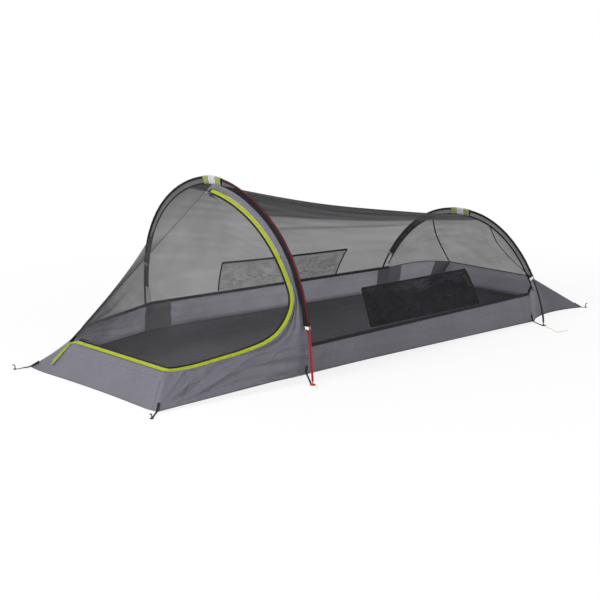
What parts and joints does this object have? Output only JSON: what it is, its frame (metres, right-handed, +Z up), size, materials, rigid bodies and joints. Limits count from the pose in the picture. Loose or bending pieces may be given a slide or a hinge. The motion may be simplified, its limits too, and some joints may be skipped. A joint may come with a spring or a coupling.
{
  "type": "one-person tent",
  "caption": "Low one-person tent on two bent hoops: mesh canopy with a zipped door over a grey tub floor, pegged at its corners.",
  "frame": {"origin": "centre of the ground footprint, on the ground", "axes": "+X from the head end to the foot end, -Y towards the side with the door zip, +Z up"},
  "size_m": [2.5722, 1.1653, 0.7467],
  "materials": {
    "bare_alloy": "satin",
    "black_net": "fine mesh, see-through",
    "black_plastic": "moulded",
    "black_pole": "anodised satin",
    "black_trim": "woven, matt",
    "dark_steel": "dark coating",
    "floor_fabric": "coated nylon, matt",
    "grey_fabric": "coated nylon, faint sheen",
    "grey_net": "fine mesh, see-through",
    "lime_trim": "woven, matt",
    "red_pole": "anodised satin",
    "red_webbing": "woven, matt",
    "white_cord": "braided elastic",
    "white_plastic": "moulded"
  },
  "bodies": {
    "tent_body": {"far_front_canopy": "black_net", "foot_canopy": "black_net", "foot_end_wall": "grey_fabric", "foot_side_far": "grey_fabric", "foot_side_near": "grey_fabric", "foot_tab_far": "grey_fabric", "foot_tab_near": "grey_fabric", "frame_zip_tape": "lime_trim", "front_loose_cord": "lime_trim", "front_strap_far": "red_webbing", "front_strap_near": "red_webbing", "groundsheet": "floor_fabric", "head_tab_far": "grey_fabric", "head_tab_near": "grey_fabric", "head_wall": "grey_fabric", "middle_canopy": "black_net", "pocket_far": "grey_net", "pocket_near": "grey_net", "rear_loose_cord": "lime_trim", "rear_strap_far": "black_trim", "rear_strap_near": "black_trim", "side_panel_near": "grey_fabric", "side_wall_far": "grey_fabric", "side_wall_near": "grey_fabric", "zip_tail": "lime_trim"},
    "front_hoop": {"front_apex_patch": "lime_trim", "front_clip_far": "white_plastic", "front_clip_near": "white_plastic", "front_hoop_sleeve": "black_net", "front_pole_section_1": "red_pole", "front_pole_section_2": "red_pole", "front_pole_section_3": "red_pole", "front_pole_section_4": "black_pole", "front_pole_section_5": "black_pole", "front_pole_section_6": "black_pole", "front_pole_tip_far": "bare_alloy", "front_pole_tip_near": "bare_alloy", "front_shock_cord": "white_cord", "hook_loop": "black_trim"},
    "rear_hoop": {"rear_apex_patch": "lime_trim", "rear_clip_far": "white_plastic", "rear_clip_near": "white_plastic", "rear_hoop_sleeve": "black_net", "rear_pole_section_1": "black_pole", "rear_pole_section_2": "black_pole", "rear_pole_section_3": "black_pole", "rear_pole_section_4": "black_pole", "rear_pole_tip_far": "bare_alloy", "rear_pole_tip_near": "bare_alloy", "rear_shock_cord": "white_cord"},
    "door": {"door_panel": "black_net", "door_zip_tape": "lime_trim"},
    "slider": {"zip_slider": "bare_alloy", "zip_bridge": "bare_alloy"},
    "puller": {"zip_puller": "lime_trim"},
    "hook": {"lantern_hook": "black_plastic"},
    "foot_peg_far": {"foot_peg_far": "dark_steel"},
    "foot_peg_near": {"foot_peg_near": "dark_steel"},
    "head_peg_far": {"head_peg_far": "dark_steel"},
    "head_peg_near": {"head_peg_near": "dark_steel"}
  },
  "joints": [
    {"name": "front_hoop_fold", "type": "hinge", "parent": "tent_body", "child": "front_hoop", "pos_m": [-0.576, 0, 0.004], "axis": [0, 1, 0], "range_deg": [0, 46], "deforming": ["middle_canopy", "far_front_canopy", "foot_canopy", "side_panel_near", "door_panel", "door_zip_tape", "frame_zip_tape", "pocket_near", "pocket_far", "front_hoop_sleeve", "rear_hoop_sleeve"]},
    {"name": "rear_hoop_fold", "type": "hinge", "parent": "tent_body", "child": "rear_hoop", "pos_m": [0.832, 0, 0.004], "axis": [0, 1, 0], "range_deg": [0, 46], "deforming": ["middle_canopy", "far_front_canopy", "foot_canopy", "side_panel_near", "door_panel", "door_zip_tape", "frame_zip_tape", "pocket_near", "pocket_far", "front_hoop_sleeve", "rear_hoop_sleeve"]},
    {"name": "door_open", "type": "hinge", "parent": "tent_body", "child": "door", "pos_m": [-1.106, 0.303, 0.106], "axis": [-0.5752, 0.3639, -0.7326], "range_deg": [0, 100], "deforming": ["door_panel", "door_zip_tape"]},
    {"name": "zip_slide", "type": "slide", "parent": "tent_body", "child": "slider", "axis": [0, -1, 0], "range_m": [0, 0.451]},
    {"name": "puller_swing", "type": "hinge", "parent": "slider", "child": "puller", "pos_m": [-1.10185, 0.21686, 0.11572], "axis": [0.7847, 0, 0.6199], "range_deg": [0, 165]},
    {"name": "hook_swing", "type": "hinge", "parent": "front_hoop", "child": "hook", "pos_m": [-0.627, 0, 0.70506], "axis": [1, 0, 0], "range_deg": [-50, 50]},
    {"name": "foot_peg_far_turn", "type": "hinge", "parent": "tent_body", "child": "foot_peg_far", "pos_m": [1.275, 0.418, 0.006], "axis": [0, 0, 1], "range_deg": [-170, 170]},
    {"name": "foot_peg_near_turn", "type": "hinge", "parent": "tent_body", "child": "foot_peg_near", "pos_m": [1.275, -0.418, 0.006], "axis": [0, 0, 1], "range_deg": [-170, 170]},
    {"name": "head_peg_far_turn", "type": "hinge", "parent": "tent_body", "child": "head_peg_far", "pos_m": [-1.275, 0.443, 0.006], "axis": [0, 0, 1], "range_deg": [-170, 170]},
    {"name": "head_peg_near_turn", "type": "hinge", "parent": "tent_body", "child": "head_peg_near", "pos_m": [-1.275, -0.443, 0.006], "axis": [0, 0, 1], "range_deg": [-170, 170]}
  ],
  "couplings": [
    {"joint": "rear_hoop_fold", "follows": "front_hoop_fold", "ratio": 1}
  ]
}
